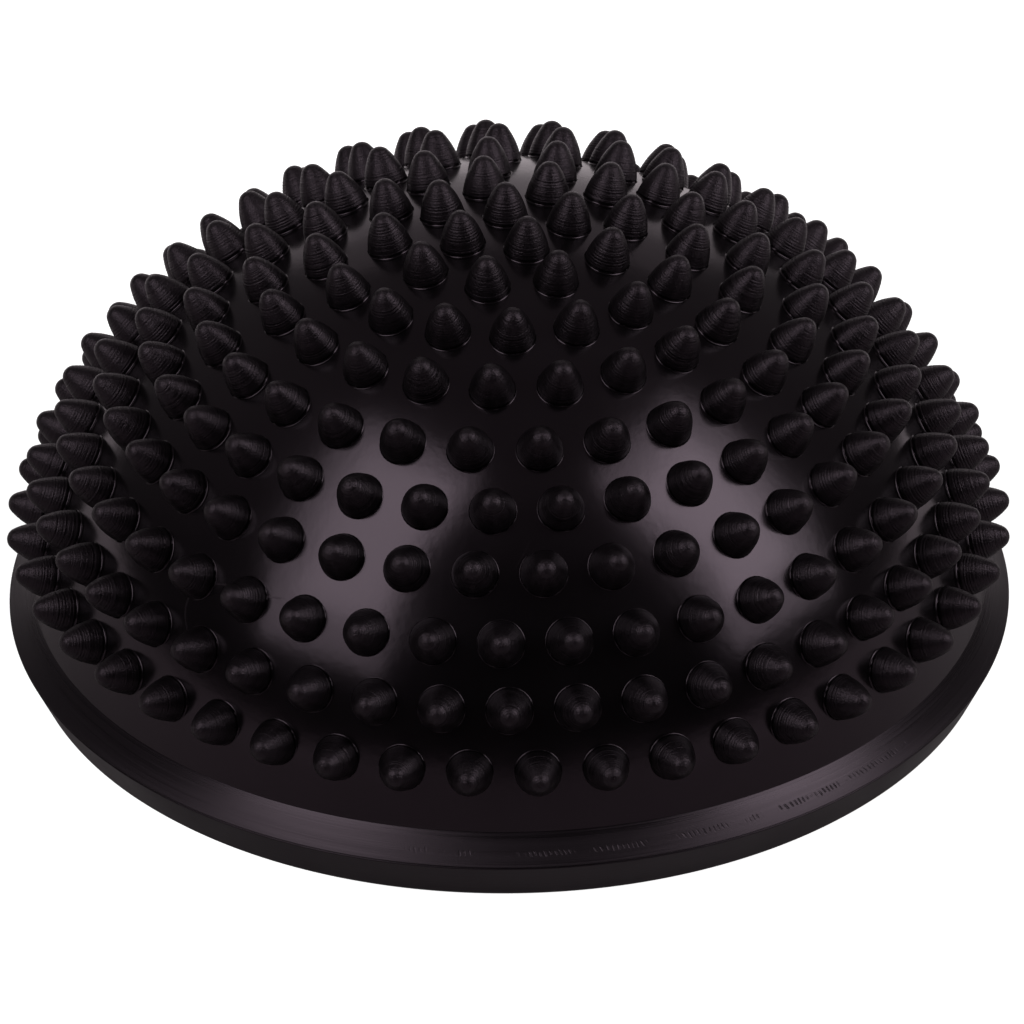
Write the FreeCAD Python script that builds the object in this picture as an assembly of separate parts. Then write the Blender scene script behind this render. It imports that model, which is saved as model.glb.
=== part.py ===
import FreeCAD, Part
import math
import os

# Half-ball wobble cushion, all sizes in millimetres.
# The floor plane is z = 0, the origin is the centre of the underside and +Z points up.
# The object is an air-filled half ball: a thick spiked dome bonded to a flat base plate at a
# parting plane, and an inflation valve in the middle of the underside, closed by a small plug.

# Dome: an ellipsoid of revolution centred on the floor plane, with a conical skirt at its foot
DOME_HALF_WIDTH = 76.8
DOME_HALF_HEIGHT = 72.6
DOME_WALL = 2.8
SHOULDER_Z = 14.0            # below this height the inside of the dome wall is a straight bore
SKIRT_TOP_Z = 16.6           # below this height the outside is a straight cone, tangent to the dome

# Brim: the bevelled band round the foot of the dome, widest at the parting plane
PARTING_Z = 6.9
BRIM_RADIUS = 80.0
BRIM_TOP_Z = 10.8            # where the brim's bevel meets the skirt
SEAM_CHAMFER = 0.15          # on both edges of the parting plane, so the seam reads as a fine line

# Spikes: rings of rounded cones that stand square to the skin
SPIKE_HEIGHT = 5.9
SPIKE_RADIUS = 3.45
SPIKE_WAIST = (2.68, 2.95)   # radius and height of a point half way up the bulging side
SPIKE_CAP_START = (1.45, 5.2)
SPIKE_ROOT = 1.2             # how deep a spike's foot is sunk in the wall
RINGS = (                    # degrees from the top, number of spikes, degrees the first is turned
    (7.4, 6, 18.5),
    (13.9, 11, -8.7),
    (21.5, 18, 1.8),
    (28.9, 23, -3.4),
    (36.7, 28, 5.9),
    (43.9, 33, -2.5),
    (51.2, 37, 4.9),
    (59.1, 41, -1.1),
    (66.8, 44, -0.1),
    (74.2, 46, 3.1),
)

# Base plate: rim, thin floor, ring that plugs into the dome, hub round the valve
FOOT_RADIUS = 77.3
FOOT_ROUND = 0.6
FLOOR_THICKNESS = 4.0
SPIGOT_TOP_Z = 12.5
SPIGOT_THICKNESS = 2.6
SPIGOT_CLEARANCE = 0.05
HUB_RADIUS = 15.0
HUB_TOP_Z = 9.0
RECESS_RADIUS = 11.0
RECESS_DEPTH = 3.2
GROOVE_FIRST_RADIUS = 18.0
GROOVE_LAST_RADIUS = 70.0
GROOVE_PITCH = 6.5
GROOVE_WIDTH = 1.8
GROOVE_DEPTH = 0.8

# Adhesive ring in a shallow groove at the parting plane
BOND_INNER_RADIUS = 74.6
BOND_OUTER_RADIUS = 78.0
BOND_DEPTH = 0.4
BOND_GAP = 0.02

# Valve: a moulded cup in the hub, a rubber core pressed into it, and a plug in the core
CUP_RADIUS = 6.5
CUP_CLEARANCE = 0.03
CUP_FLANGE_RADIUS = 10.5
CUP_FLANGE_THICKNESS = 1.6
CUP_NOSE_RADIUS = 6.0
CUP_TOP_Z = 15.0
CUP_LIP_THICKNESS = 1.2
CUP_LIP_RADIUS = 2.5
CORE_RADIUS = 4.0
CORE_CLEARANCE = 0.03
CORE_HEAD_RADIUS = 6.0
CORE_HEAD_THICKNESS = 1.3
CHANNEL_RADIUS = 0.90
CHANNEL_TOP_Z = 9.0
PLUG_PIN_RADIUS = 0.85
PLUG_PIN_TOP_Z = 7.5
PLUG_HEAD_RADIUS = 5.4
PLUG_HEAD_BOTTOM_Z = 0.5
PLUG_HEAD_THICKNESS = 1.05
PLUG_TAB_LENGTH = 9.8        # from the axis to the tab's far end
PLUG_TAB_WIDTH = 4.4
PLUG_EDGE = 0.25

UP = FreeCAD.Vector(0, 0, 1)
ORIGIN = FreeCAD.Vector(0, 0, 0)


def at(radius, z):
    """A point of a half section: the X axis is the radius, Z is the height."""
    return FreeCAD.Vector(radius, 0, z)


def line(start, end):
    return Part.LineSegment(at(*start), at(*end)).toShape()


def arc(start, middle, end):
    return Part.Arc(at(*start), at(*middle), at(*end)).toShape()


def polyline(points):
    """Straight edges through a list of (radius, height) points."""
    return [line(start, end) for start, end in zip(points, points[1:])]


def turned(edges):
    """The solid that a closed half section makes when it turns once about the Z axis."""
    wire = Part.Wire(Part.__sortEdges__(edges))
    return Part.Face(wire).revolve(ORIGIN, UP, 360)


def turned_outline(points):
    return turned(polyline(points + points[:1]))


def ellipse_radius(half_width, half_height, z):
    return half_width * math.sqrt(1 - (z / half_height) ** 2)


def ellipse_height(half_width, half_height, radius):
    return half_height * math.sqrt(1 - (radius / half_width) ** 2)


def ellipse_arc(half_width, half_height, start, end):
    """The short way round an ellipse centred on the origin, between two points on it."""
    across = (start[0] + end[0]) / 2
    middle = (across, ellipse_height(half_width, half_height, across))
    ellipse = Part.Ellipse(at(half_width, 0), at(0, half_height), ORIGIN)
    parameters = [ellipse.parameter(at(*point)) for point in (start, middle, end)]
    low, high = min(parameters), max(parameters)
    if not low < parameters[1] < high:
        raise ValueError("the arc would cross the start of the ellipse")
    return Part.ArcOfEllipse(ellipse, low, high).toShape()


def skirt_line():
    """The straight foot of the skin, from the brim's top up to where it meets the ellipse."""
    top_radius = ellipse_radius(DOME_HALF_WIDTH, DOME_HALF_HEIGHT, SKIRT_TOP_Z)
    slope = SKIRT_TOP_Z / top_radius * (DOME_HALF_WIDTH / DOME_HALF_HEIGHT) ** 2
    foot_radius = top_radius + slope * (SKIRT_TOP_Z - BRIM_TOP_Z)
    return (foot_radius, BRIM_TOP_Z), (top_radius, SKIRT_TOP_Z)


def inner_ellipse():
    return DOME_HALF_WIDTH - DOME_WALL, DOME_HALF_HEIGHT - DOME_WALL


def spigot_bore_radius():
    half_width, half_height = inner_ellipse()
    return ellipse_radius(half_width, half_height, SHOULDER_Z)


def spike_side(base_z):
    """The side and rounded cap of a spike whose foot is at base_z, from foot to tip."""
    foot = (SPIKE_RADIUS, base_z)
    waist = (SPIKE_WAIST[0], base_z + SPIKE_WAIST[1])
    cap_start = (SPIKE_CAP_START[0], base_z + SPIKE_CAP_START[1])
    cap_rise = SPIKE_HEIGHT - SPIKE_CAP_START[1]
    cap_radius = (SPIKE_CAP_START[0] ** 2 + cap_rise ** 2) / (2 * cap_rise)
    half_way = SPIKE_CAP_START[0] / 2
    tip_z = base_z + SPIKE_HEIGHT
    cap_middle = (half_way, tip_z - cap_radius + math.sqrt(cap_radius ** 2 - half_way ** 2))
    return [arc(foot, waist, cap_start), arc(cap_start, cap_middle, (0, tip_z))]


def spike():
    """One spike standing on the origin, with its root below it."""
    root = polyline([(0, SPIKE_HEIGHT), (0, -SPIKE_ROOT), (SPIKE_RADIUS, -SPIKE_ROOT), (SPIKE_RADIUS, 0)])
    return turned(root + spike_side(0))


def spike_rings():
    """Every spike except the one on top of the dome, which belongs to the dome's own section."""
    pattern = spike()
    spikes = []
    for from_top_deg, count, turn_deg in RINGS:
        from_top = math.radians(from_top_deg)
        radius = DOME_HALF_WIDTH * math.sin(from_top)
        height = DOME_HALF_HEIGHT * math.cos(from_top)
        outward = math.sin(from_top) / DOME_HALF_WIDTH
        upward = math.cos(from_top) / DOME_HALF_HEIGHT
        lean_deg = math.degrees(math.atan2(outward, upward))
        for number in range(count):
            bearing_deg = turn_deg + 360 * number / count - 90
            copy = pattern.copy()
            copy.rotate(ORIGIN, FreeCAD.Vector(0, 1, 0), lean_deg)
            copy.translate(FreeCAD.Vector(radius, 0, height))
            copy.rotate(ORIGIN, UP, bearing_deg)
            spikes.append(copy)
    return spikes


def dome_shell():
    """The top moulding: hollow ellipsoid, brim, top spike in one section, then the spike rings."""
    inner_width, inner_height = inner_ellipse()
    bore = spigot_bore_radius()
    skirt_foot, skirt_top = skirt_line()
    top_foot_z = ellipse_height(DOME_HALF_WIDTH, DOME_HALF_HEIGHT, SPIKE_RADIUS)
    top_foot = (SPIKE_RADIUS, top_foot_z)
    inner_top = (0, inner_height)
    shoulder = (bore, SHOULDER_Z)
    brim = polyline([
        shoulder,
        (bore, PARTING_Z),
        (BRIM_RADIUS - SEAM_CHAMFER, PARTING_Z),
        (BRIM_RADIUS, PARTING_Z + SEAM_CHAMFER),
        skirt_foot,
        skirt_top,
    ])
    skin = ellipse_arc(DOME_HALF_WIDTH, DOME_HALF_HEIGHT, skirt_top, top_foot)
    axis = line((0, top_foot_z + SPIKE_HEIGHT), inner_top)
    lining = ellipse_arc(inner_width, inner_height, inner_top, shoulder)
    body = turned(brim + [skin] + spike_side(top_foot_z) + [axis, lining])
    return body.multiFuse(spike_rings())


def base_plate():
    """The bottom moulding: undercut rim, spigot, thin floor, valve hub and grip grooves."""
    spigot_outer = spigot_bore_radius() - SPIGOT_CLEARANCE
    spigot_inner = spigot_outer - SPIGOT_THICKNESS
    plate = turned_outline([
        (CUP_RADIUS, RECESS_DEPTH),
        (RECESS_RADIUS, RECESS_DEPTH),
        (RECESS_RADIUS, 0),
        (FOOT_RADIUS - FOOT_ROUND, 0),
        (FOOT_RADIUS, FOOT_ROUND),
        (BRIM_RADIUS, PARTING_Z - SEAM_CHAMFER),
        (BRIM_RADIUS - SEAM_CHAMFER, PARTING_Z),
        (BOND_OUTER_RADIUS, PARTING_Z),
        (BOND_OUTER_RADIUS, PARTING_Z - BOND_DEPTH),
        (BOND_INNER_RADIUS, PARTING_Z - BOND_DEPTH),
        (BOND_INNER_RADIUS, PARTING_Z),
        (spigot_outer, PARTING_Z),
        (spigot_outer, SPIGOT_TOP_Z),
        (spigot_inner, SPIGOT_TOP_Z),
        (spigot_inner, FLOOR_THICKNESS),
        (HUB_RADIUS, FLOOR_THICKNESS),
        (HUB_RADIUS, HUB_TOP_Z),
        (CUP_RADIUS, HUB_TOP_Z),
    ])
    return plate.cut(Part.makeCompound(grip_grooves()))


def grip_grooves():
    """Concentric grooves in the underside, which grip the floor."""
    count = int((GROOVE_LAST_RADIUS - GROOVE_FIRST_RADIUS) / GROOVE_PITCH) + 1
    grooves = []
    for number in range(count):
        inner = GROOVE_FIRST_RADIUS + number * GROOVE_PITCH
        outer = inner + GROOVE_WIDTH
        grooves.append(turned_outline([
            (inner, -GROOVE_DEPTH),
            (outer, -GROOVE_DEPTH),
            (outer, GROOVE_DEPTH),
            (inner, GROOVE_DEPTH),
        ]))
    return grooves


def rim_bond():
    """The ring of adhesive that joins the dome to the base plate."""
    inner = BOND_INNER_RADIUS + BOND_GAP
    outer = BOND_OUTER_RADIUS - BOND_GAP
    bottom = PARTING_Z - BOND_DEPTH + BOND_GAP
    top = PARTING_Z - BOND_GAP
    return turned_outline([(inner, bottom), (outer, bottom), (outer, top), (inner, top)])


def valve_cup():
    """The cup that lines the hub: tube, flange on the hub's inner face, nose with a lip."""
    flange_bottom = HUB_TOP_Z + CUP_CLEARANCE
    flange_top = flange_bottom + CUP_FLANGE_THICKNESS
    return turned_outline([
        (CORE_RADIUS, RECESS_DEPTH),
        (CUP_RADIUS - CUP_CLEARANCE, RECESS_DEPTH),
        (CUP_RADIUS - CUP_CLEARANCE, flange_bottom),
        (CUP_FLANGE_RADIUS, flange_bottom),
        (CUP_FLANGE_RADIUS, flange_top),
        (CUP_NOSE_RADIUS, flange_top),
        (CUP_NOSE_RADIUS, CUP_TOP_Z),
        (CUP_LIP_RADIUS, CUP_TOP_Z),
        (CUP_LIP_RADIUS, CUP_TOP_Z - CUP_LIP_THICKNESS),
        (CORE_RADIUS, CUP_TOP_Z - CUP_LIP_THICKNESS),
    ])


def core_head_bottom():
    return RECESS_DEPTH - CORE_CLEARANCE - CORE_HEAD_THICKNESS


def valve_core():
    """The self-sealing rubber core, with a blind channel that guides an inflation needle."""
    head_bottom = core_head_bottom()
    head_top = RECESS_DEPTH - CORE_CLEARANCE
    shank = CORE_RADIUS - CORE_CLEARANCE
    shank_top = CUP_TOP_Z - CUP_LIP_THICKNESS - CORE_CLEARANCE
    return turned_outline([
        (CHANNEL_RADIUS, head_bottom),
        (CORE_HEAD_RADIUS, head_bottom),
        (CORE_HEAD_RADIUS, head_top),
        (shank, head_top),
        (shank, shank_top),
        (0, shank_top),
        (0, CHANNEL_TOP_Z),
        (CHANNEL_RADIUS, CHANNEL_TOP_Z),
    ])


def valve_plug():
    """The pull-out plug: pin in the core's channel, round head and a finger tab."""
    head_top = PLUG_HEAD_BOTTOM_Z + PLUG_HEAD_THICKNESS
    pin_and_head = turned_outline([
        (0, PLUG_HEAD_BOTTOM_Z),
        (PLUG_HEAD_RADIUS - PLUG_EDGE, PLUG_HEAD_BOTTOM_Z),
        (PLUG_HEAD_RADIUS, PLUG_HEAD_BOTTOM_Z + PLUG_EDGE),
        (PLUG_HEAD_RADIUS, head_top),
        (PLUG_PIN_RADIUS, head_top),
        (PLUG_PIN_RADIUS, PLUG_PIN_TOP_Z - PLUG_PIN_RADIUS / 2),
        (PLUG_PIN_RADIUS / 2, PLUG_PIN_TOP_Z),
        (0, PLUG_PIN_TOP_Z),
    ])
    round_end = PLUG_TAB_LENGTH - PLUG_TAB_WIDTH / 2
    corner = FreeCAD.Vector(0, -PLUG_TAB_WIDTH / 2, PLUG_HEAD_BOTTOM_Z)
    tab = Part.makeBox(round_end, PLUG_TAB_WIDTH, PLUG_HEAD_THICKNESS, corner)
    tab_end_centre = at(round_end, PLUG_HEAD_BOTTOM_Z)
    tab_end = Part.makeCylinder(PLUG_TAB_WIDTH / 2, PLUG_HEAD_THICKNESS, tab_end_centre)
    return pin_and_head.multiFuse([tab, tab_end]).removeSplitter()


def main():
    os.makedirs("parts", exist_ok=True)
    nodes = {
        "dome_shell": dome_shell(),
        "base_plate": base_plate(),
        "rim_bond": rim_bond(),
        "valve_cup": valve_cup(),
        "valve_core": valve_core(),
        "valve_plug": valve_plug(),
    }
    for name, shape in nodes.items():
        shape.exportStep(os.path.join("parts", name + ".step"))
        print(name, len(shape.Solids), "solid", len(shape.Faces), "faces", shape.isValid(),
              round(shape.Volume / 1000, 2), "cm3")


main()
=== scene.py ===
import math

import bpy
import numpy as np
from mathutils import Matrix, Quaternion, Vector


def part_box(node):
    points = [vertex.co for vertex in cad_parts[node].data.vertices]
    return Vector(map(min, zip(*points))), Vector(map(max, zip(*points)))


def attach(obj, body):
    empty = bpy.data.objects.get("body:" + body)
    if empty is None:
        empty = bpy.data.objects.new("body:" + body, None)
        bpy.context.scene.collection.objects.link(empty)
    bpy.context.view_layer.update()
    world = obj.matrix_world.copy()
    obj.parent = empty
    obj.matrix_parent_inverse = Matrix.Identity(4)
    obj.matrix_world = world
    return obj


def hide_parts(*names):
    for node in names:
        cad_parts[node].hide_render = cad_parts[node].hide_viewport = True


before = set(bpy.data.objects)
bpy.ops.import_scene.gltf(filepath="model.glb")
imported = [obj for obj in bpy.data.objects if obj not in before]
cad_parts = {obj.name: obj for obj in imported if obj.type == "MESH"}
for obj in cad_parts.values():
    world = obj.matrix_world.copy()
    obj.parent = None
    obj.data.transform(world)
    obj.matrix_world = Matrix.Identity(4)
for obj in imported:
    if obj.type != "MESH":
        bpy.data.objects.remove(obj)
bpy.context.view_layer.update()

MM = 0.001

# ---------------------------------------------------------------------------
# Driving dimensions, from the frame where it has them
# ---------------------------------------------------------------------------
DOME_LOW, DOME_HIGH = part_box("dome_shell")
PLUG_LOW, PLUG_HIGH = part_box("valve_plug")
CORE_LOW, CORE_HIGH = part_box("valve_core")

# Dome and brim
PARTING_Z = DOME_LOW.z
TOP_Z = DOME_HIGH.z
BRIM_RADIUS = 80.0 * MM
SPIKE_HEIGHT = 5.9 * MM
SPIKE_RADIUS = 3.45 * MM
DOME_HALF_WIDTH = 76.8 * MM
DOME_HALF_HEIGHT = (TOP_Z - SPIKE_HEIGHT) / math.sqrt(1 - (SPIKE_RADIUS / DOME_HALF_WIDTH) ** 2)
DOME_WALL = 2.8 * MM
SHOULDER_Z = 14.0 * MM
BORE_TOP_Z = 13.5 * MM
BRIM_TOP_Z = 10.8 * MM
BRIM_ROUND = 0.14 * MM
SKIRT_TOP_Z = 16.6 * MM
SEAM = 0.15 * MM
FOOT_RADIUS = 77.3 * MM
BAND_INNER_RADIUS = 75.6 * MM

# Spikes, as on the CAD model
SPIKE_WAIST = (2.68 * MM, 2.95 * MM)
SPIKE_CAP_START = (1.45 * MM, 5.2 * MM)
SPIKE_FILLET = 0.25 * MM
SPIKE_FILLET_TURN = 0.92 * math.pi / 2
SPIKE_FILLET_SINK = 0.02 * MM
SPIKE_FOOT_SINK = 0.04 * MM
SPIKE_ROOT = 0.8 * MM
SPIKE_BOTTOM = 0.9 * MM
RINGS = (                    # degrees from the top, number of spikes, degrees the first is turned
    (7.4, 6, 18.5),
    (13.9, 11, -8.7),
    (21.5, 18, 1.8),
    (28.9, 23, -3.4),
    (36.7, 28, 5.9),
    (43.9, 33, -2.5),
    (51.2, 37, 4.9),
    (59.1, 41, -1.1),
    (66.8, 44, -0.1),
    (74.2, 46, 3.1),
)

# The turned marks on the spikes: a wave along the side that sways in strength, plus a scatter
MARK_PITCH = 0.46 * MM
MARK_DEPTH = 0.016 * MM
MARK_STRENGTH = 0.75
MARK_SWAY = 0.35
MARK_SWAY_PER_MM = 1.7
MARK_FOOT_STRENGTH = 1.4
MARK_SCATTER = 0.6
TIP_RUN_PAST_LAST_ROW_MM = 0.2

# Base plate
BASE_ROUND = 0.15 * MM
FOOT_ROUND = 0.6 * MM
FLOOR_THICKNESS = 4.0 * MM
SPIGOT_TOP_Z = 12.5 * MM
SPIGOT_THICKNESS = 2.6 * MM
SPIGOT_CLEARANCE = 0.05 * MM
HUB_RADIUS = 15.0 * MM
HUB_TOP_Z = 9.0 * MM
RECESS_RADIUS = 11.0 * MM
RECESS_DEPTH = 3.2 * MM
CUP_RADIUS = 6.5 * MM
GROOVE_FIRST_RADIUS = 18.0 * MM
GROOVE_LAST_RADIUS = 70.0 * MM
GROOVE_PITCH = 6.5 * MM
GROOVE_WIDTH = 1.8 * MM
GROOVE_DEPTH = 0.8 * MM
BOND_INNER_RADIUS = 74.6 * MM
BOND_OUTER_RADIUS = 78.0 * MM
BOND_DEPTH = 0.4 * MM

# Valve core and plug
CORE_HEAD_THICKNESS = 1.3 * MM
CORE_SHANK_RADIUS = 3.97 * MM
CORE_TOP_FLAT_RADIUS = 0.4 * MM
CORE_ROUND = 0.25 * MM
CHANNEL_RADIUS = 0.9 * MM
CHANNEL_TOP_Z = 9.0 * MM
DIMPLE = 0.5 * MM
DIMPLE_LIP = 0.1 * MM
PLUG_DISC_RADIUS = 5.4 * MM
PLUG_HEAD_THICKNESS = 1.05 * MM
PLUG_EDGE_CURVE = 0.25 * MM
PLUG_TAB_WIDTH = 4.4 * MM
PLUG_TAB_BLEND = 0.25 * MM
PLUG_PIN_RADIUS = 0.85 * MM
PLUG_NECK_RADIUS = 1.3 * PLUG_PIN_RADIUS
PLUG_NECK_HEIGHT = 0.25 * MM
PIN_TIP = (                  # radius and distance below the pin's end, as shares of the pin's radius
    (1.0, 0.6),
    (0.9, 0.3),
    (0.55, 0.05),
)
GRIP_PLACES = (6.6 * MM, 7.5 * MM, 8.4 * MM)
GRIP_WIDTH = 0.2 * MM
GRIP_DEPTH = 0.15 * MM
GRIP_HALF_LENGTH = 0.36 * PLUG_TAB_WIDTH
FACE_TOLERANCE = 0.01 * MM

# How finely the meshes are divided
AROUND = 384
BASE_AROUND = 360
SPIKE_AROUND = 28
CORE_AROUND = 96
PLUG_AROUND = 320
INSIDE_ROWS = 40
SKIRT_ROWS = 6
SKIN_ROWS = 120
SKIN_ROW_GAP = 0.6 * MM
FILLET_ROWS = 5
SIDE_ROWS = 54
CAP_ROWS = 10
PLUG_FACE_ROWS = 48
PLUG_EDGE_ROWS = 5
PLUG_BACK_ROWS = 8
ON_AXIS = 1e-9
RANDOM = np.random.default_rng(7)

# Colours and the marks on the brim
PVC_TINT = (1.0, 0.78, 0.94, 1.0)
PVC_DARK = (0.0012, 0.0010, 0.0012)
PVC_LIGHT = (0.0030, 0.0025, 0.0029)
BASE_LIGHT = (0.004, 0.0034, 0.0039)
BAND_LIGHT = (0.0060, 0.0050, 0.0060)
NOISE_SPAN = (0.3, 0.7)      # nearly all of a noise's values lie in here
NICK_Z = PARTING_Z + 1.6 * MM
NICK_ROW_WIDTH = 0.55 * MM
NICK_PITCH = 0.8 * MM
NICK_SLANT = 0.5
NICK_MIDDLE_BEARING = math.radians(-69.0)
NICK_HALF_SPAN = math.radians(33.0)
NICK_FADE = math.radians(4.0)

# Stage and room
ROOM_TINT = (1.0, 0.91, 0.94)
ROOM_LIGHT_FROM = (0.0, 0.55, 0.83)
ROOM_LEAN_SPAN = (-0.1, 0.85)
ROOM_DARK = 0.02
ROOM_LIGHT = 0.12
BACKDROP_GREY = 0.95
FLOOR_HALF_SIZE = 30.0
FLOOR_GREY = 0.4
FLOOR_GLOW_SEEN = 0.92
FLOOR_GLOW_BEHIND = 0.60
FLOOR_GLOW_BESIDE = 0.10
FLOOR_GLOW_UNDER = 0.06
FLOOR_BEHIND_SPAN = (0.02, 0.35)
FLOOR_BESIDE_SPAN = (0.06, 0.2)
FLOOR_UNDER_SPAN = (FOOT_RADIUS, FOOT_RADIUS + 7 * MM)

# Camera
CAMERA_PLACE = (0.0, -0.70336, 0.45630)
CAMERA_PITCH_DEG = 31.863
CAMERA_YAW_DEG = -0.046
CAMERA_ROLL_DEG = -0.552
CAMERA_LENS = 182.76
CAMERA_SENSOR_WIDTH = 36.0
CAMERA_NEAR = 0.01
CAMERA_FAR = 100.0


# ---------------------------------------------------------------------------
# Outlines: lists of (radius, height) points
# ---------------------------------------------------------------------------
def circle_through(first, second, third):
    """Centre and radius of the circle through three points."""
    (ax, ay), (bx, by), (cx, cy) = first, second, third
    double_area = 2 * (ax * (by - cy) + bx * (cy - ay) + cx * (ay - by))
    a2 = ax * ax + ay * ay
    b2 = bx * bx + by * by
    c2 = cx * cx + cy * cy
    x = (a2 * (by - cy) + b2 * (cy - ay) + c2 * (ay - by)) / double_area
    y = (a2 * (cx - bx) + b2 * (ax - cx) + c2 * (bx - ax)) / double_area
    return (x, y), math.hypot(ax - x, ay - y)


def arc_points(first, middle, last, count):
    """count points from first to last along the arc that goes through middle."""
    (x, y), radius = circle_through(first, middle, last)
    angles = np.unwrap([math.atan2(point[1] - y, point[0] - x) for point in (first, middle, last)])
    steps = np.linspace(angles[0], angles[2], count)
    return [(x + radius * math.cos(a), y + radius * math.sin(a)) for a in steps]


def rounded_corner(here, before, after, radius, steps):
    """Points round one corner, and one point on each side of it that keeps the flats flat."""
    longest_share = 0.4
    support = 0.12 * MM
    support_share = 0.05
    half_turn = before.angle(after) / 2
    reach = min(radius / math.tan(half_turn), before.length * longest_share, after.length * longest_share)
    start = here + before.normalized() * reach
    end = here + after.normalized() * reach
    near_start = start + before.normalized() * min(support, before.length * support_share)
    near_end = end + after.normalized() * min(support, after.length * support_share)
    curve = []
    for step in range(steps + 1):
        t = step / steps
        curve.append(tuple(start * (1 - t) ** 2 + here * 2 * t * (1 - t) + end * t ** 2))
    return [tuple(near_start), *curve, tuple(near_end)]


def rounded(points, radius, closed=False, steps=4):
    """The outline with each corner rounded; the two ends of an open outline stay as they are."""
    made = []
    last = len(points) - 1
    for i, point in enumerate(points):
        if not closed and i in (0, last):
            made.append(point)
            continue
        here = Vector(point)
        before = Vector(points[i - 1]) - here
        after = Vector(points[(i + 1) % len(points)]) - here
        made += rounded_corner(here, before, after, radius, steps)
    return made


def ellipse_radius(z, inset=0.0):
    """The dome's radius at height z, or that of its inside when inset is the wall."""
    return (DOME_HALF_WIDTH - inset) * math.sqrt(1 - (z / (DOME_HALF_HEIGHT - inset)) ** 2)


def skirt_radius(z):
    """The straight foot of the skin, tangent to the ellipse at its top."""
    top_radius = ellipse_radius(SKIRT_TOP_Z)
    slope = SKIRT_TOP_Z / top_radius * (DOME_HALF_WIDTH / DOME_HALF_HEIGHT) ** 2
    return top_radius + slope * (SKIRT_TOP_Z - z)


def dome_outline():
    """The dome moulding's half section: inner top, inside, brim, skin, outer top."""
    inner_width = DOME_HALF_WIDTH - DOME_WALL
    inner_height = DOME_HALF_HEIGHT - DOME_WALL
    bore = ellipse_radius(SHOULDER_Z, DOME_WALL)
    inner_angles = np.linspace(math.pi / 2, math.asin(SHOULDER_Z / inner_height), INSIDE_ROWS)
    inside = [(inner_width * math.cos(a), inner_height * math.sin(a)) for a in inner_angles]
    inside[0] = (0.0, inner_height)
    brim = rounded([
        (bore, BORE_TOP_Z),
        (bore, PARTING_Z),
        (BRIM_RADIUS - SEAM, PARTING_Z),
        (BRIM_RADIUS, PARTING_Z + SEAM),
        (skirt_radius(BRIM_TOP_Z), BRIM_TOP_Z),
        (skirt_radius(BRIM_TOP_Z + SKIN_ROW_GAP), BRIM_TOP_Z + SKIN_ROW_GAP),
    ], BRIM_ROUND)
    skirt_heights = np.linspace(BRIM_TOP_Z + 2 * SKIN_ROW_GAP, SKIRT_TOP_Z, SKIRT_ROWS)
    skirt = [(skirt_radius(z), z) for z in skirt_heights]
    first_angle = math.asin((SKIRT_TOP_Z + SKIN_ROW_GAP) / DOME_HALF_HEIGHT)
    skin_angles = np.linspace(first_angle, math.pi / 2, SKIN_ROWS)
    skin = [(DOME_HALF_WIDTH * math.cos(a), DOME_HALF_HEIGHT * math.sin(a)) for a in skin_angles]
    skin[-1] = (0.0, DOME_HALF_HEIGHT)
    return inside + brim + skirt + skin


def spike_outline():
    """Points (radius, height above the skin), run along the side, and 1 where a point has marks."""
    wide_radius = SPIKE_RADIUS + SPIKE_FILLET
    root = [
        (wide_radius, -SPIKE_ROOT),
        (wide_radius, -SPIKE_FOOT_SINK),
    ]
    fillet = [
        (wide_radius - SPIKE_FILLET * math.sin(a), SPIKE_FILLET * (1 - math.cos(a)) - SPIKE_FILLET_SINK)
        for a in np.linspace(0, SPIKE_FILLET_TURN, FILLET_ROWS)
    ]
    side = arc_points((SPIKE_RADIUS, SPIKE_FILLET), SPIKE_WAIST, SPIKE_CAP_START, SIDE_ROWS)
    cap_rise = SPIKE_HEIGHT - SPIKE_CAP_START[1]
    cap_radius = (SPIKE_CAP_START[0] ** 2 + cap_rise ** 2) / (2 * cap_rise)
    widest = math.asin(SPIKE_CAP_START[0] / cap_radius)
    cap = [
        (cap_radius * math.sin(a), SPIKE_HEIGHT - cap_radius + cap_radius * math.cos(a))
        for a in np.linspace(widest, 0, CAP_ROWS)[1:-1]
    ]
    points = np.array(root + fillet + side + cap)
    side_start = len(root) + len(fillet)
    steps = np.hypot(*np.diff(points, axis=0).T)
    run = np.concatenate([[0], np.cumsum(steps)])
    run -= run[side_start]
    marked = np.zeros(len(points))
    marked[side_start + 1:side_start + len(side)] = 1
    return points, run, marked


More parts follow.
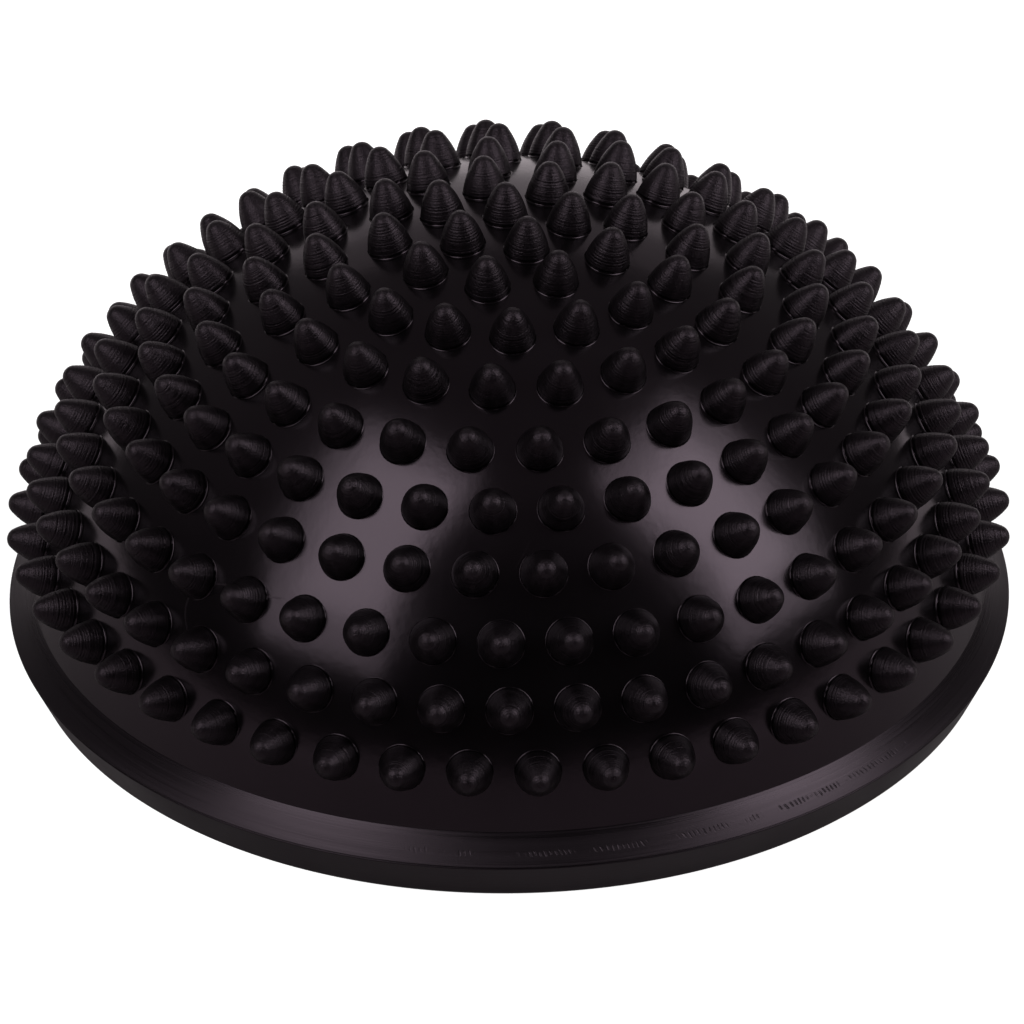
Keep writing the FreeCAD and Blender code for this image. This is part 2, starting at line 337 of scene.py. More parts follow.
def base_outline():
    """The base moulding's half section, counterclockwise from the underside of the valve recess."""
    spigot_outer = ellipse_radius(SHOULDER_Z, DOME_WALL) - SPIGOT_CLEARANCE
    spigot_inner = spigot_outer - SPIGOT_THICKNESS
    underside = [(RECESS_RADIUS, RECESS_DEPTH), (RECESS_RADIUS, 0)]
    radius = GROOVE_FIRST_RADIUS
    while radius <= GROOVE_LAST_RADIUS:
        underside += [
            (radius, 0),
            (radius, GROOVE_DEPTH),
            (radius + GROOVE_WIDTH, GROOVE_DEPTH),
            (radius + GROOVE_WIDTH, 0),
        ]
        radius += GROOVE_PITCH
    return rounded(underside + [
        (FOOT_RADIUS - FOOT_ROUND, 0),
        (FOOT_RADIUS, FOOT_ROUND),
        (BRIM_RADIUS, PARTING_Z - SEAM),
        (BRIM_RADIUS - SEAM, PARTING_Z),
        (BOND_OUTER_RADIUS, PARTING_Z),
        (BOND_OUTER_RADIUS, PARTING_Z - BOND_DEPTH),
        (BOND_INNER_RADIUS, PARTING_Z - BOND_DEPTH),
        (BOND_INNER_RADIUS, PARTING_Z),
        (spigot_outer, PARTING_Z),
        (spigot_outer, SPIGOT_TOP_Z),
        (spigot_inner, SPIGOT_TOP_Z),
        (spigot_inner, FLOOR_THICKNESS),
        (HUB_RADIUS, FLOOR_THICKNESS),
        (HUB_RADIUS, HUB_TOP_Z),
        (CUP_RADIUS, HUB_TOP_Z),
        (CUP_RADIUS, RECESS_DEPTH),
    ], BASE_ROUND, closed=True, steps=2)


def core_outline():
    """The rubber core's half section from the blind end of the needle channel round to its top."""
    bottom = CORE_LOW.z
    top = CORE_HIGH.z
    head_radius = CORE_HIGH.x
    head_top = bottom + CORE_HEAD_THICKNESS
    corners = rounded([
        (CHANNEL_RADIUS, CHANNEL_TOP_Z),
        (CHANNEL_RADIUS, bottom + DIMPLE),
        (CHANNEL_RADIUS + DIMPLE, bottom + DIMPLE_LIP),
        (CHANNEL_RADIUS + 3 * DIMPLE, bottom),
        (head_radius, bottom),
        (head_radius, head_top),
        (CORE_SHANK_RADIUS, head_top),
        (CORE_SHANK_RADIUS, top),
        (CORE_TOP_FLAT_RADIUS, top),
    ], CORE_ROUND)
    return [(0.0, CHANNEL_TOP_Z)] + corners + [(0.0, top)]


# ---------------------------------------------------------------------------
# Meshes
# ---------------------------------------------------------------------------
def new_piece(name, vertices, quads, triangles=()):
    """A smooth-shaded mesh object from lists of vertices and faces."""
    mesh = bpy.data.meshes.new(name)
    faces = [tuple(q) for q in quads] + [tuple(t) for t in triangles]
    mesh.from_pydata([tuple(v) for v in vertices], [], faces)
    mesh.validate()
    mesh.shade_smooth()
    piece = bpy.data.objects.new(name, mesh)
    bpy.context.scene.collection.objects.link(piece)
    return piece


def round_bearings(count):
    """count bearings evenly round a full turn."""
    return np.linspace(0, 2 * math.pi, count, endpoint=False)


def join_rows(low, high):
    """Quads between two closed rows with as many vertices in each."""
    count = len(low)
    return [(low[j], low[(j + 1) % count], high[(j + 1) % count], high[j]) for j in range(count)]


def close_top(row, point):
    """Triangles from a closed row of vertices to one vertex above it."""
    count = len(row)
    return [(row[j], row[(j + 1) % count], point) for j in range(count)]


def close_bottom(row, point):
    """Triangles from a closed row of vertices to one vertex below it."""
    count = len(row)
    return [(row[(j + 1) % count], row[j], point) for j in range(count)]


def lathe(outline, around, closed):
    """Vertices, quads and triangles of an outline turned about the Z axis."""
    bearings = round_bearings(around)
    turn = np.stack([np.cos(bearings), np.sin(bearings)], -1)
    vertices = []
    rows = []
    for radius, z in outline:
        if radius < ON_AXIS:
            rows.append([len(vertices)])
            vertices.append((0.0, 0.0, z))
        else:
            rows.append(list(range(len(vertices), len(vertices) + around)))
            vertices.extend((radius * c, radius * s, z) for c, s in turn)
    quads = []
    triangles = []
    pairs = list(zip(rows, rows[1:]))
    if closed:
        pairs.append((rows[-1], rows[0]))
    for low, high in pairs:
        if len(low) == 1:
            triangles += close_bottom(high, low[0])
        elif len(high) == 1:
            triangles += close_top(low, high[0])
        else:
            quads += join_rows(low, high)
    return vertices, quads, triangles


def make_dome_skin():
    """The dome moulding without its spikes, with the brim's bevel in a material of its own."""
    vertices, quads, triangles = lathe(dome_outline(), AROUND, closed=False)
    piece = new_piece("dome_skin", vertices, quads, triangles)
    mesh = piece.data
    mesh.materials.append(skin_material())
    mesh.materials.append(band_material())
    for face in mesh.polygons:
        on_band = face.center.z < BRIM_TOP_Z and face.center.xy.length > BAND_INNER_RADIUS
        face.material_index = 1 if on_band else 0
    return piece


def spike_places():
    """One list per ring of (polar angle from the top, bearing) for every spike, top spike first."""
    rings = [[(0.0, 0.0)]]
    for from_top_deg, count, turn_deg in RINGS:
        from_top = math.radians(from_top_deg)
        bearings = [math.radians(turn_deg - 90 + 360 * number / count) for number in range(count)]
        rings.append([(from_top, bearing) for bearing in bearings])
    return rings


def skin_frame(from_top, bearing):
    """A point of the skin, two tangents there and its outward normal."""
    outward = np.array([math.cos(bearing), math.sin(bearing), 0.0])
    up = np.array([0.0, 0.0, 1.0])
    point = outward * DOME_HALF_WIDTH * math.sin(from_top) + up * DOME_HALF_HEIGHT * math.cos(from_top)
    normal = outward * math.sin(from_top) / DOME_HALF_WIDTH + up * math.cos(from_top) / DOME_HALF_HEIGHT
    normal /= np.linalg.norm(normal)
    sideways = np.array([-math.sin(bearing), math.cos(bearing), 0.0])
    uphill = np.cross(normal, sideways)
    return point, sideways, uphill, normal


def skin_drop(points, normal):
    """How far below each point the skin lies, measured along the normal."""
    scale = np.array([1 / DOME_HALF_WIDTH, 1 / DOME_HALF_WIDTH, 1 / DOME_HALF_HEIGHT])
    p = points * scale
    n = normal * scale
    a = n @ n
    b = -2 * p @ n
    c = (p * p).sum(-1) - 1
    return (-b - np.sqrt(np.maximum(b * b - 4 * a * c, 0))) / (2 * a)


def turned_marks(run, marked, phase):
    """How far the turned marks stand out of each row of one spike."""
    sway = MARK_STRENGTH + MARK_SWAY * np.sin(run / MM * MARK_SWAY_PER_MM + phase * 3)
    strength = sway * (MARK_FOOT_STRENGTH - run / run[-1])
    scatter = MARK_SCATTER * RANDOM.standard_normal(len(run))
    wave = strength * np.sin(2 * math.pi * run / MARK_PITCH + phase)
    return (wave + scatter) * MARK_DEPTH * marked


def spike_rows(place, radius, height):
    """The vertices of one spike, row by row from its hidden root; its foot follows the curved skin."""
    point, sideways, uphill, normal = place
    rows = len(radius)
    bearings = round_bearings(SPIKE_AROUND)
    turn = np.stack([np.cos(bearings), np.sin(bearings)], -1)
    flat = radius[:, None, None] * (turn[None, :, :1] * sideways + turn[None, :, 1:] * uphill)
    foot = point + flat.reshape(-1, 3)
    drop = skin_drop(foot, normal).reshape(rows, SPIKE_AROUND)
    fade = np.clip(1 - height / SPIKE_CAP_START[1], 0, 1)[:, None]
    lift = height[:, None] - drop * np.where(height[:, None] < 0, 1, fade)
    body = foot.reshape(rows, SPIKE_AROUND, 3) + lift[:, :, None] * normal
    return body.reshape(-1, 3)


def spike_faces(base, rows):
    """Quads and triangles of one spike; its bottom and tip come after its rows of vertices."""
    row_starts = [base + i * SPIKE_AROUND for i in range(rows)]
    indices = [range(start, start + SPIKE_AROUND) for start in row_starts]
    quads = []
    for low, high in zip(indices, indices[1:]):
        quads += join_rows(low, high)
    bottom = base + rows * SPIKE_AROUND
    tip = bottom + 1
    return quads, close_bottom(indices[0], bottom) + close_top(indices[-1], tip)


def make_spike_ring(name, places, material):
    """All the spikes of one ring as one mesh, with the turned marks as real steps."""
    outline, run, marked = spike_outline()
    rows = len(outline)
    vertices = []
    quads = []
    triangles = []
    runs = []
    seeds = []
    for from_top, bearing in places:
        place = skin_frame(from_top, bearing)
        point = place[0]
        normal = place[3]
        seed = RANDOM.random()
        radius = outline[:, 0] + turned_marks(run, marked, 2 * math.pi * seed)
        more_quads, more_triangles = spike_faces(len(vertices), rows)
        quads += more_quads
        triangles += more_triangles
        vertices.extend(map(tuple, spike_rows(place, radius, outline[:, 1])))
        vertices.append(tuple(point - normal * SPIKE_BOTTOM))
        vertices.append(tuple(point + normal * SPIKE_HEIGHT))
        runs.extend(np.repeat(run / MM, SPIKE_AROUND))
        runs.extend([0.0, run[-1] / MM + TIP_RUN_PAST_LAST_ROW_MM])
        seeds.extend([seed] * (rows * SPIKE_AROUND + 2))
    piece = new_piece(name, vertices, quads, triangles)
    for label, values in (("side_run_mm", runs), ("spike_seed", seeds)):
        attribute = piece.data.attributes.new(label, "FLOAT", "POINT")
        attribute.data.foreach_set("value", np.array(values, np.float32))
    piece.data.materials.append(material)
    return piece


def make_base():
    vertices, quads, triangles = lathe(base_outline(), BASE_AROUND, closed=True)
    return new_piece("base_body", vertices, quads, triangles)


def make_core():
    vertices, quads, triangles = lathe(core_outline(), CORE_AROUND, closed=False)
    return new_piece("core_body", vertices, quads, triangles)


def plug_edge_radius(bearings):
    """Distance from the axis to the edge of the plug's disc with its finger tab, in each direction."""
    half_width = PLUG_TAB_WIDTH / 2
    end_centre = PLUG_HIGH.x - half_width
    across = np.abs(np.sin(bearings))
    along = np.cos(bearings)
    in_end = np.clip(half_width ** 2 - (end_centre * across) ** 2, 0, None)
    end = end_centre * along + np.sqrt(in_end)
    side = half_width / np.maximum(across, 1e-6)
    tab = np.where(end_centre * across < half_width, np.minimum(side, end), side)
    tab = np.where(along > 0, np.minimum(tab, PLUG_HIGH.x), 0)
    tab = np.where((end_centre * across >= half_width) & (side > end_centre), 0, tab)
    disc = np.full_like(bearings, PLUG_DISC_RADIUS)
    difference = np.clip((tab - disc) / PLUG_TAB_BLEND, -30, 30)
    edge = np.maximum(tab, disc) + PLUG_TAB_BLEND * 0.2 / (1 + difference ** 2)
    return np.minimum(edge, PLUG_HIGH.x)


def plug_rows(bearings):
    """(radii, height) of each row: out along the face, round the edge, back in and up the pin."""
    low = PLUG_LOW.z
    high = low + PLUG_HEAD_THICKNESS
    curve = PLUG_EDGE_CURVE
    flat = plug_edge_radius(bearings) - curve
    rows = [(share * flat, low) for share in np.linspace(0.02, 1, PLUG_FACE_ROWS)]
    for angle in np.linspace(0.3, math.pi / 2, PLUG_EDGE_ROWS):
        rows.append((flat + curve * math.sin(angle), low + curve * (1 - math.cos(angle))))
    for angle in np.linspace(0, math.pi / 2, PLUG_EDGE_ROWS):
        rows.append((flat + curve * math.cos(angle), high - curve + curve * math.sin(angle)))
    for share in np.linspace(0.9, 0.0, PLUG_BACK_ROWS):
        rows.append((PLUG_NECK_RADIUS + share * (flat - PLUG_NECK_RADIUS), high))
    rows.append((np.full_like(bearings, PLUG_PIN_RADIUS), high + PLUG_NECK_HEIGHT))
    for radius_share, drop_share in PIN_TIP:
        radii = np.full_like(bearings, PLUG_PIN_RADIUS * radius_share)
        rows.append((radii, PLUG_HIGH.z - PLUG_PIN_RADIUS * drop_share))
    return rows


def grip_grooves(x, y, z):
    """How deep the tab's grip grooves are at each point of one row; 0 away from the tab's face."""
    groove = sum(np.exp(-((x - place) / GRIP_WIDTH) ** 2) for place in GRIP_PLACES)
    on_tab = (np.abs(y) < GRIP_HALF_LENGTH) & (z < PLUG_LOW.z + FACE_TOLERANCE)
    return np.where(on_tab, GRIP_DEPTH * groove, 0)


def make_plug():
    """The plug: flat disc and tab with rounded edges and three grip grooves, and the pin."""
    bearings = round_bearings(PLUG_AROUND)
    vertices = []
    indices = []
    for radii, z in plug_rows(bearings):
        x = radii * np.cos(bearings)
        y = radii * np.sin(bearings)
        indices.append(range(len(vertices), len(vertices) + PLUG_AROUND))
        vertices.extend(zip(x, y, z + grip_grooves(x, y, z)))
    quads = []
    for low, high in zip(indices, indices[1:]):
        quads += join_rows(low, high)
    bottom = len(vertices)
    tip = bottom + 1
    vertices.append((0, 0, PLUG_LOW.z))
    vertices.append((0, 0, PLUG_HIGH.z))
    triangles = close_bottom(indices[0], bottom) + close_top(indices[-1], tip)
    return new_piece("plug_body", vertices, quads, triangles)


# ---------------------------------------------------------------------------
# Materials. Noise scales are per metre of the object.
# ---------------------------------------------------------------------------
class Paint:
    """A material with its Principled shader, and short ways to add and join nodes."""

    def __init__(self, name):
        self.material = bpy.data.materials.new(name)
        self.material.use_nodes = True
        self.tree = self.material.node_tree
        self.shader = self.tree.nodes["Principled BSDF"]

    def node(self, kind, **values):
        made = self.tree.nodes.new(kind)
        for key, value in values.items():
            setattr(made, key, value)
        return made

    def join(self, output, target):
        self.tree.links.new(output, target)

    def place(self):
        """The point of the object that is being painted."""
        return self.node("ShaderNodeTexCoord").outputs["Object"]

    def parts(self, vector):
        """The X, Y and Z of a vector."""
        made = self.node("ShaderNodeSeparateXYZ")
        self.join(vector, made.inputs["Vector"])
        return made.outputs["X"], made.outputs["Y"], made.outputs["Z"]

    def streaks(self, around_scale, height_scale):
        """Places drawn out round the Z axis, as a turning tool leaves its marks."""
        made = self.node("ShaderNodeMapping")
        made.inputs["Scale"].default_value = (around_scale, around_scale, height_scale)
        self.join(self.place(), made.inputs["Vector"])
        return made.outputs["Vector"]

    def noise(self, vector, scale, detail, roughness=0.5):
        made = self.node("ShaderNodeTexNoise")
        made.inputs["Scale"].default_value = scale
        made.inputs["Detail"].default_value = detail
        made.inputs["Roughness"].default_value = roughness
        self.join(vector, made.inputs["Vector"])
        return made.outputs["Fac"]

    def spread(self, value, source, target):
        """value mapped from the range source to the range target, and clamped."""
        made = self.node("ShaderNodeMapRange", clamp=True)
        made.inputs["From Min"].default_value = source[0]
        made.inputs["From Max"].default_value = source[1]
        made.inputs["To Min"].default_value = target[0]
        made.inputs["To Max"].default_value = target[1]
        self.join(value, made.inputs["Value"])
        return made.outputs["Result"]

    def math(self, operation, *values):
        made = self.node("ShaderNodeMath", operation=operation)
        for socket, value in zip(made.inputs, values):
            if isinstance(value, (int, float)):
                socket.default_value = value
            else:
                self.join(value, socket)
        return made.outputs["Value"]

    def add(self, first, second):
        return self.math("ADD", first, second)

    def times(self, first, second):
        return self.math("MULTIPLY", first, second)

    def distance(self, first, second):
        return self.math("ABSOLUTE", self.math("SUBTRACT", first, second))

    def colours(self, value, span, low_colour, high_colour):
        """A colour between two, as value goes through span."""
        made = self.node("ShaderNodeValToRGB")
        low, high = made.color_ramp.elements
        low.position, high.position = span
        low.color = (*low_colour, 1)
        high.color = (*high_colour, 1)
        self.join(value, made.inputs["Fac"])
        return made.outputs["Color"]

    def bump(self, height, distance, under=None):
        """A bumped normal, on top of another one if there is one under it."""
        made = self.node("ShaderNodeBump")
        made.inputs["Distance"].default_value = distance
        made.inputs["Strength"].default_value = 1.0
        self.join(height, made.inputs["Height"])
        if under is not None:
            self.join(under, made.inputs["Normal"])
        return made.outputs["Normal"]

    def finish(self, colour, roughness, normal):
        self.join(colour, self.shader.inputs["Base Color"])
        self.join(roughness, self.shader.inputs["Roughness"])
        self.join(normal, self.shader.inputs["Normal"])
        return self.material


def pvc(name, specular=0.5):
    """The start of every PVC material: its slightly purple reflections and their strength."""
    paint = Paint(name)
    paint.shader.inputs["Specular Tint"].default_value = PVC_TINT
    paint.shader.inputs["Specular IOR Level"].default_value = specular
    return paint


def hairlines(paint, place):
    """Extra roughness on a few thin curved scratches: where a slow noise crosses its middle."""
    level = paint.noise(place, scale=11.0, detail=2.0)
    line = paint.spread(paint.distance(level, 0.5), (0.0004, 0.0012), (1.0, 0.0))
    patches = paint.spread(paint.noise(place, scale=38.0, detail=2.0), (0.56, 0.64), (0.0, 0.15))
    return paint.times(line, patches)


def skin_material():
    """Glossy moulded PVC: slow waves, a fine orange peel and a few hairlines."""
    paint = pvc("dome_pvc_skin")
    place = paint.place()
    cloud = paint.noise(place, scale=45.0, detail=4.0)
    wave = paint.noise(place, scale=60.0, detail=1.0)
    peel = paint.noise(place, scale=700.0, detail=2.0)
    grain = paint.noise(place, scale=5000.0, detail=2.0)
    colour = paint.colours(cloud, (0.3, 0.75), PVC_DARK, PVC_LIGHT)
    roughness = paint.add(paint.spread(cloud, NOISE_SPAN, (0.15, 0.21)), hairlines(paint, place))
    normal = paint.bump(wave, 0.25 * MM)
    normal = paint.bump(peel, 0.012 * MM, under=normal)
    normal = paint.bump(grain, 0.0015 * MM, under=normal)
    return paint.finish(colour, roughness, normal)


def spike_marks(paint, run):
    """Fine turned marks along the side of a spike, different on each spike."""
    marks_per_mm = 4.2
    seed_spread = 97.0
    seed = paint.node("ShaderNodeAttribute", attribute_name="spike_seed").outputs["Fac"]
    shift = paint.times(seed, seed_spread)
    line = paint.node("ShaderNodeCombineXYZ")
    paint.join(paint.add(paint.times(run, marks_per_mm), shift), line.inputs["X"])
    paint.join(shift, line.inputs["Y"])
    return paint.noise(line.outputs["Vector"], scale=1.0, detail=3.0, roughness=0.65)


def spike_material():
    """Turned marks and grain on the spikes' sides; their feet are as smooth as the skin."""
    paint = pvc("dome_pvc_spikes", specular=0.42)
    place = paint.place()
    run = paint.node("ShaderNodeAttribute", attribute_name="side_run_mm").outputs["Fac"]
    marks = spike_marks(paint, run)
    cloud = paint.noise(place, scale=300.0, detail=3.0)
    grain = paint.noise(place, scale=3200.0, detail=3.0, roughness=0.6)
    colour = paint.colours(marks, NOISE_SPAN, PVC_DARK, PVC_LIGHT)
    off_foot = paint.spread(run, (0.0, 0.3), (0.0, 1.0))
    dull = paint.add(paint.spread(marks, NOISE_SPAN, (0.05, 0.29)), paint.times(cloud, 0.08))
    roughness = paint.add(paint.times(dull, off_foot), 0.15)
    normal = paint.bump(paint.times(marks, off_foot), 0.09 * MM)
    normal = paint.bump(paint.times(grain, off_foot), 0.08 * MM, under=normal)
    return paint.finish(colour, roughness, normal)


def brim_nicks(paint, place):
    """A broken row of short slanted tool marks round part of the brim's front."""
    x, y, z = paint.parts(place)
    bearing = paint.math("ARCTAN2", y, x)
    around = paint.times(bearing, 2 * math.pi * BRIM_RADIUS / NICK_PITCH)
    slant = paint.times(z, 2 * math.pi * NICK_SLANT / NICK_PITCH)
    drift = paint.times(paint.noise(place, scale=200.0, detail=1.0), 12.0)
    wave = paint.math("SINE", paint.add(paint.add(around, slant), drift))
    bars = paint.spread(wave, (0.2, 0.9), (0, 1))
    patches = paint.spread(paint.noise(place, scale=220.0, detail=3.0), (0.44, 0.60), (0, 1))
    ragged = paint.times(paint.noise(place, scale=900.0, detail=2.0), NICK_ROW_WIDTH)
    off_row = paint.add(paint.distance(z, NICK_Z), ragged)
    in_row = paint.spread(off_row, (NICK_ROW_WIDTH * 0.8, NICK_ROW_WIDTH * 1.1), (1, 0))
    off_middle = paint.distance(bearing, NICK_MIDDLE_BEARING)
    in_sector = paint.spread(off_middle, (NICK_HALF_SPAN, NICK_HALF_SPAN - NICK_FADE), (0, 1))
    return paint.times(paint.times(bars, patches), paint.times(in_row, in_sector))


def band_material():
    """The trimmed edge of the brim: fine turned lines, a row of nicks, duller towards its foot."""
    paint = pvc("brim_band_pvc", specular=0.4)
    place = paint.place()
    fine = paint.noise(paint.streaks(30.0, 6500.0), scale=1.0, detail=3.0, roughness=0.65)
    broad = paint.noise(paint.streaks(14.0, 1100.0), scale=1.0, detail=2.0)
    lines = paint.add(paint.times(fine, 0.6), paint.times(broad, 0.4))
    nicks = brim_nicks(paint, place)
    height = paint.parts(place)[2]
    colour = paint.colours(lines, NOISE_SPAN, PVC_DARK, BAND_LIGHT)
    foot_dull = paint.spread(height, (PARTING_Z, BRIM_TOP_Z), (0.13, 0.0))
    roughness = paint.add(paint.spread(lines, NOISE_SPAN, (0.18, 0.36)), foot_dull)
    roughness = paint.add(roughness, paint.times(nicks, 0.2))
    depth = paint.math("SUBTRACT", paint.times(lines, 0.3), paint.times(nicks, 0.45))
    normal = paint.bump(depth, 0.10 * MM)
    return paint.finish(colour, roughness, normal)


def base_material():
    """Satin moulded PVC with faint turned lines."""
    paint = pvc("base_pvc", specular=0.36)
    place = paint.place()
    fine = paint.noise(paint.streaks(15.0, 4000.0), scale=1.0, detail=3.0)
    cloud = paint.noise(place, scale=60.0, detail=4.0)
    grain = paint.noise(place, scale=2500.0, detail=3.0)
    colour = paint.colours(cloud, (0.3, 0.75), PVC_DARK, BASE_LIGHT)
    roughness = paint.spread(cloud, NOISE_SPAN, (0.32, 0.45))
    normal = paint.bump(fine, 0.01 * MM)
    normal = paint.bump(grain, 0.006 * MM, under=normal)
    return paint.finish(colour, roughness, normal)


def plain_moulding(name, dark, light, rough, grain_scale=3000.0):
    """A matt grey moulding, from one grey to another, with a fine grain."""
    paint = Paint(name)
    place = paint.place()
    cloud = paint.noise(place, scale=400.0, detail=3.0)
    grain = paint.noise(place, scale=grain_scale, detail=3.0)
    colour = paint.colours(cloud, NOISE_SPAN, [dark] * 3, [light] * 3)
    roughness = paint.spread(grain, NOISE_SPAN, (rough - 0.06, rough + 0.06))
    normal = paint.bump(grain, 0.01 * MM)
    return paint.finish(colour, roughness, normal)


def core_material():
    return plain_moulding("core_rubber", dark=0.008, light=0.014, rough=0.6)


def plug_material():
    return plain_moulding("plug_plastic", dark=0.012, light=0.022, rough=0.4)


def bond_material():
    return plain_moulding("cured_bond", dark=0.02, light=0.04, rough=0.5, grain_scale=2000.0)


def cup_material():
    return plain_moulding("cup_plastic", dark=0.01, light=0.02, rough=0.5)


def repaint_node(node, material):
    """Gives a carried-over CAD node its material."""
    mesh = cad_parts[node].data
    mesh.materials.clear()
    mesh.materials.append(material)


# ---------------------------------------------------------------------------
# Stage, lights and camera
# ---------------------------------------------------------------------------
def floor_glow(paint, seen_by_camera):
    """The floor's glow: white to the camera; in reflections bright behind the object, dim in front."""
    x, y, _ = paint.parts(paint.place())
    behind = paint.spread(y, FLOOR_BEHIND_SPAN, (0.0, FLOOR_GLOW_BEHIND))
    beside = paint.spread(paint.math("ABSOLUTE", x), FLOOR_BESIDE_SPAN, (0.0, FLOOR_GLOW_BESIDE))
    from_axis = paint.node("ShaderNodeVectorMath", operation="LENGTH")
    paint.join(paint.place(), from_axis.inputs["Vector"])
    under = paint.spread(from_axis.outputs["Value"], FLOOR_UNDER_SPAN, (FLOOR_GLOW_UNDER, 0.0))
    reflected = paint.add(paint.add(behind, beside), under)
    return paint.add(paint.times(seen_by_camera, FLOOR_GLOW_SEEN), reflected)


def make_floor():
    """A matt paper floor that shines in the room's tint, and in plain white to the camera."""
    size = FLOOR_HALF_SIZE
    corners = [(-size, -size, 0), (size, -size, 0), (size, size, 0), (-size, size, 0)]
    floor = new_piece("floor", corners, [(0, 1, 2, 3)])
    paint = Paint("floor_paper")
    shader = paint.shader
    shader.inputs["Roughness"].default_value = 1.0
    shader.inputs["Specular IOR Level"].default_value = 0.0
    seen = paint.node("ShaderNodeLightPath").outputs["Is Camera Ray"]
    tinted_grey = [FLOOR_GREY * part for part in ROOM_TINT]
    paper = paint.colours(seen, (0.0, 1.0), tinted_grey, [FLOOR_GREY] * 3)
    glow_colour = paint.colours(seen, (0.0, 1.0), ROOM_TINT, (1, 1, 1))
    paint.join(paper, shader.inputs["Base Color"])
    paint.join(glow_colour, shader.inputs["Emission Color"])
    paint.join(floor_glow(paint, seen), shader.inputs["Emission Strength"])
    floor.data.materials.append(paint.material)


def make_world():
    """A dim room, lighter overhead and behind; plain white to the camera."""
    world = bpy.data.worlds.new("studio")
    bpy.context.scene.world = world
    world.use_nodes = True
    nodes = world.node_tree.nodes
    links = world.node_tree.links
    room = nodes["Background"]
    room.inputs["Color"].default_value = (*ROOM_TINT, 1)
    direction = nodes.new("ShaderNodeTexCoord")
    lean = nodes.new("ShaderNodeVectorMath")
    lean.operation = "DOT_PRODUCT"
    lean.inputs[1].default_value = ROOM_LIGHT_FROM
    glow = nodes.new("ShaderNodeMapRange")
    glow.interpolation_type = "SMOOTHSTEP"
    glow.inputs["From Min"].default_value = ROOM_LEAN_SPAN[0]
    glow.inputs["From Max"].default_value = ROOM_LEAN_SPAN[1]
    glow.inputs["To Min"].default_value = ROOM_DARK
    glow.inputs["To Max"].default_value = ROOM_LIGHT
    backdrop = nodes.new("ShaderNodeBackground")
    backdrop.inputs["Color"].default_value = (BACKDROP_GREY, BACKDROP_GREY, BACKDROP_GREY, 1)
    path = nodes.new("ShaderNodeLightPath")
    mix = nodes.new("ShaderNodeMixShader")
    links.new(direction.outputs["Generated"], lean.inputs[0])
    links.new(lean.outputs["Value"], glow.inputs["Value"])
    links.new(glow.outputs["Result"], room.inputs["Strength"])
    links.new(path.outputs["Is Camera Ray"], mix.inputs["Fac"])
    links.new(room.outputs["Background"], mix.inputs[1])
    links.new(backdrop.outputs["Background"], mix.inputs[2])
    links.new(mix.outputs["Shader"], nodes["World Output"].inputs["Surface"])


def soft_box(name, bearing_deg, height_deg, distance, size, brightness, lean_deg=0.0, tint=(1, 1, 1)):
    """A rectangular light that faces the object. Bearing 0 is on the camera's side, + towards +X."""
    bearing = math.radians(bearing_deg)
    lift = math.radians(height_deg)
    place = Vector((
        math.sin(bearing) * math.cos(lift),
        -math.cos(bearing) * math.cos(lift),
        math.sin(lift),
    )) * distance
    light = bpy.data.lights.new(name, "AREA")
    light.shape = "RECTANGLE"
    light.size, light.size_y = size
    light.energy = brightness * math.pi * size[0] * size[1]
    light.color = tint
    piece = bpy.data.objects.new(name, light)
    bpy.context.scene.collection.objects.link(piece)
    piece.location = place
    piece.rotation_mode = "QUATERNION"
    lean = Quaternion((0, 0, 1), math.radians(lean_deg))
    piece.rotation_quaternion = place.to_track_quat("Z", "Y") @ lean


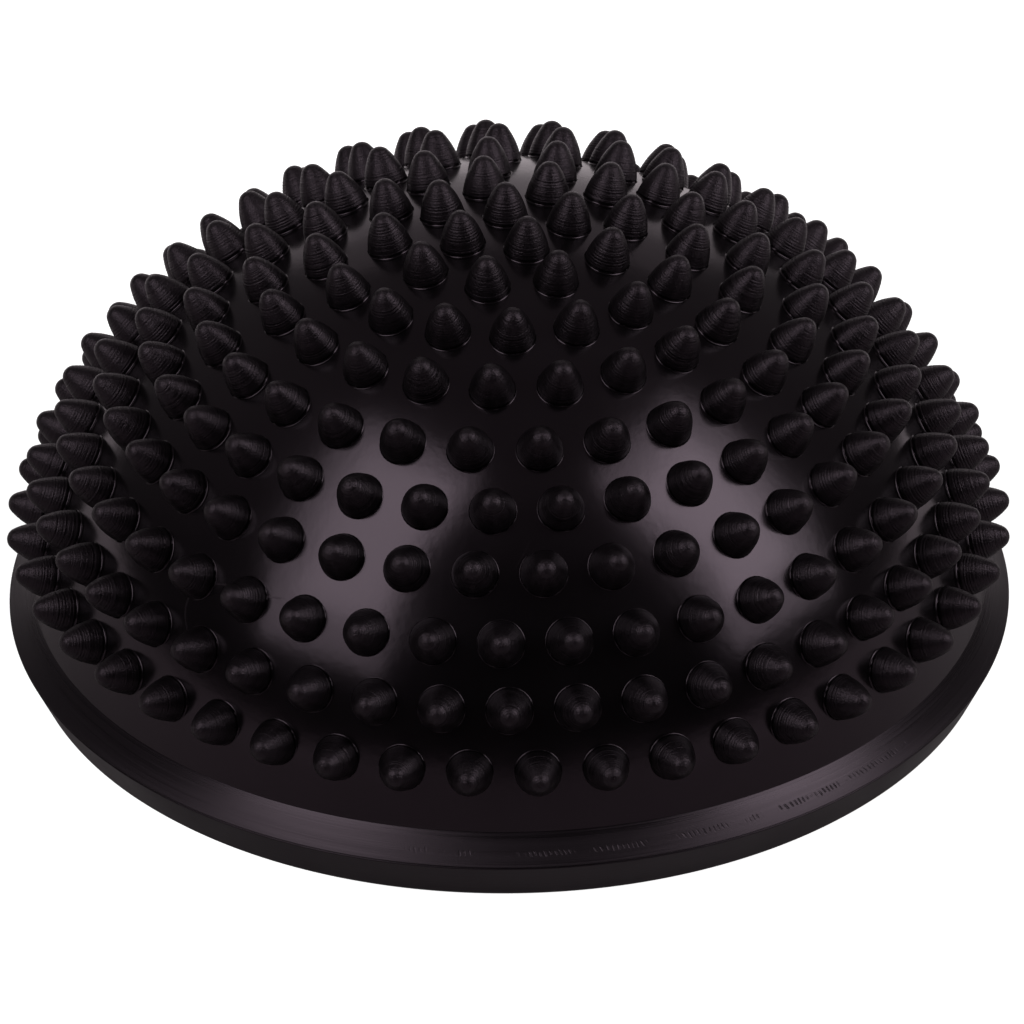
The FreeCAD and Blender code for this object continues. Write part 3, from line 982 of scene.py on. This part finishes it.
def make_lights():
    """Two soft boxes with brighter middles in front, and two dim tinted ones behind the object."""
    soft_box("soft_box_left", -51, 45, 1.2, size=(0.70, 1.16), brightness=1.35, lean_deg=8)
    soft_box("soft_box_left_core", -49, 48, 1.19, size=(0.48, 0.80), brightness=1.3, lean_deg=8)
    soft_box("soft_box_right", 73, 39, 1.2, size=(0.68, 1.14), brightness=1.5, lean_deg=-8)
    soft_box("soft_box_right_core", 71, 41, 1.19, size=(0.44, 0.70), brightness=1.9, lean_deg=-4)
    soft_box("backdrop_low", 180, 10, 1.5, size=(1.5, 0.9), brightness=0.25, tint=ROOM_TINT)
    soft_box("backdrop_high", 180, 22, 1.49, size=(1.3, 1.1), brightness=0.20, tint=ROOM_TINT)


def make_camera():
    data = bpy.data.cameras.new("camera")
    data.lens = CAMERA_LENS
    data.sensor_width = CAMERA_SENSOR_WIDTH
    data.clip_start = CAMERA_NEAR
    data.clip_end = CAMERA_FAR
    camera = bpy.data.objects.new("camera", data)
    bpy.context.scene.collection.objects.link(camera)
    yaw = Matrix.Rotation(math.radians(CAMERA_YAW_DEG), 4, "Z")
    tilt = Matrix.Rotation(math.radians(90 - CAMERA_PITCH_DEG), 4, "X")
    roll = Matrix.Rotation(math.radians(CAMERA_ROLL_DEG), 4, "Z")
    camera.matrix_world = Matrix.Translation(CAMERA_PLACE) @ yaw @ tilt @ roll
    bpy.context.scene.camera = camera
    bpy.context.scene.view_settings.view_transform = "Standard"


# ---------------------------------------------------------------------------
# The object
# ---------------------------------------------------------------------------
def put_in_place(piece, node, body):
    """Puts a piece in the place of a CAD node."""
    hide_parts(node)
    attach(piece, body)


def add_piece(piece, node, body, material):
    """Paints a piece and puts it in the place of a CAD node."""
    piece.data.materials.append(material)
    put_in_place(piece, node, body)


def main():
    skin = make_dome_skin()
    put_in_place(skin, "dome_shell", "cushion")
    spikes = spike_material()
    for number, places in enumerate(spike_places()):
        ring = make_spike_ring(f"spike_ring_{number:02d}", places, spikes)
        put_in_place(ring, "dome_shell", "cushion")
    add_piece(make_base(), "base_plate", "cushion", base_material())
    add_piece(make_core(), "valve_core", "cushion", core_material())
    add_piece(make_plug(), "valve_plug", "plug", plug_material())
    repaint_node("rim_bond", bond_material())
    repaint_node("valve_cup", cup_material())
    make_floor()
    make_world()
    make_lights()
    make_camera()


main()
